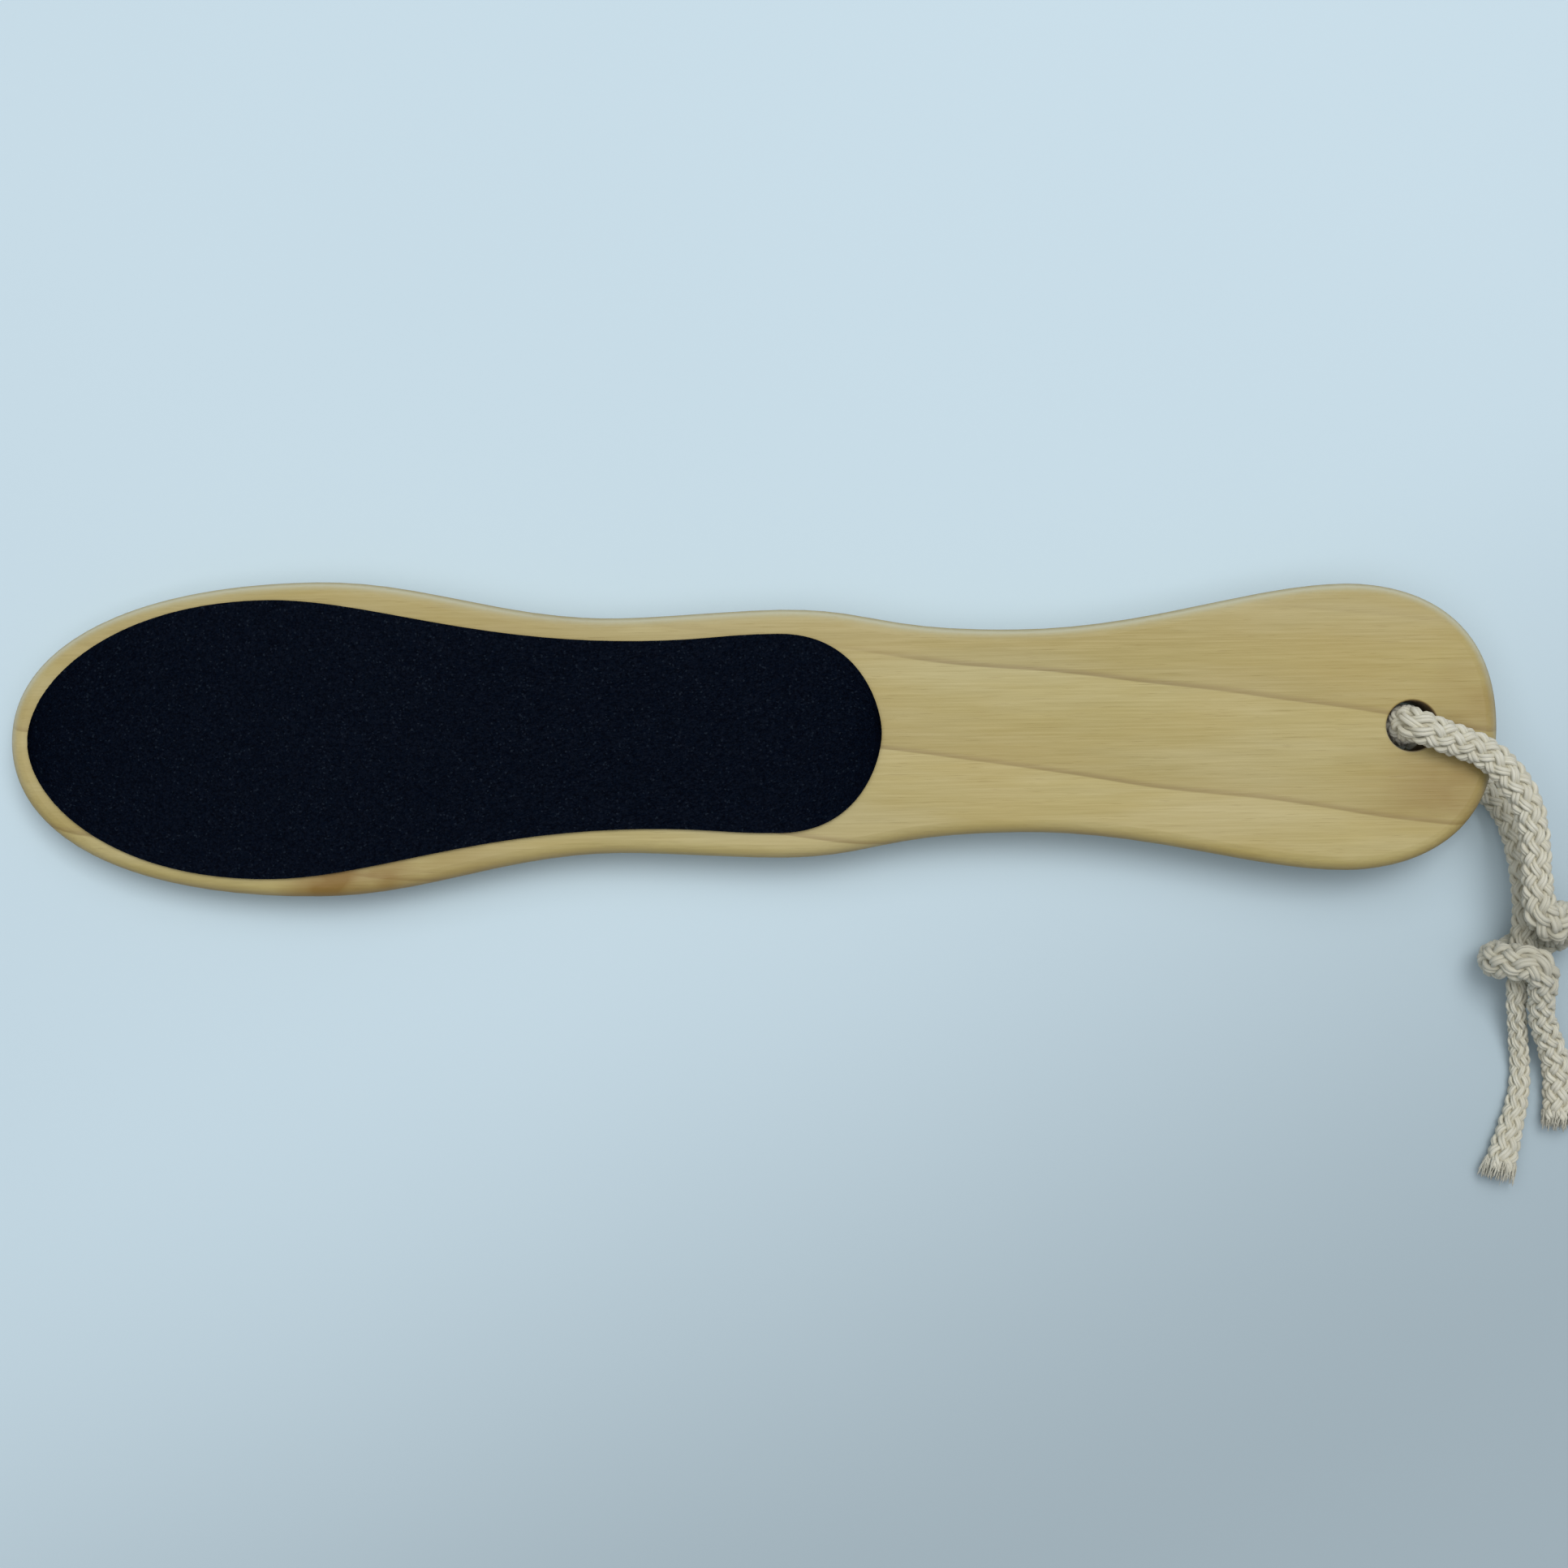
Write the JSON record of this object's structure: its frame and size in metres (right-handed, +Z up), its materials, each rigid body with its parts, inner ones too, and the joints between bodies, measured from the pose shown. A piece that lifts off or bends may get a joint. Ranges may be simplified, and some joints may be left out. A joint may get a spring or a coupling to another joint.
{
  "type": "foot file",
  "caption": "Wooden paddle foot file with abrasive sheets glued to both faces and a knotted cotton hanging cord through a hole in the handle end.",
  "frame": {"origin": "middle of the paddle's bounding box, on the surface that the file lies on", "axes": "+X along the paddle from the toe of the head to the handle end, +Y across it, +Z up out of the front abrasive face; the paddle leans 1.2 degrees, because its cord lies under the handle end"},
  "size_m": [0.2904, 0.1139, 0.0232],
  "materials": {
    "wood": "sanded, thin clear coat",
    "adhesive": "clear tacky film",
    "backing": "dark cloth-backed paper",
    "front_grit": "coarse black abrasive grain in resin",
    "back_grit": "fine black abrasive grain in resin",
    "cord": "undyed braided cotton"
  },
  "bodies": {
    "paddle": {"wooden_paddle": "wood", "front_adhesive_film": "adhesive", "front_backing_sheet": "backing", "front_grit_coat": "front_grit", "back_adhesive_film": "adhesive", "back_backing_sheet": "backing", "back_grit_coat": "back_grit"},
    "cord": {"cord_loop": "cord", "cord_knot": "cord", "cord_tail_left": "cord", "cord_tail_right": "cord"}
  },
  "joints": [
    {"name": "cord_swing", "type": "hinge", "parent": "paddle", "child": "cord", "pos_m": [0.12067, 0, 0.0114], "axis": [-0.0213, 0, 0.9998], "range_deg": [-30, 120]}
  ]
}
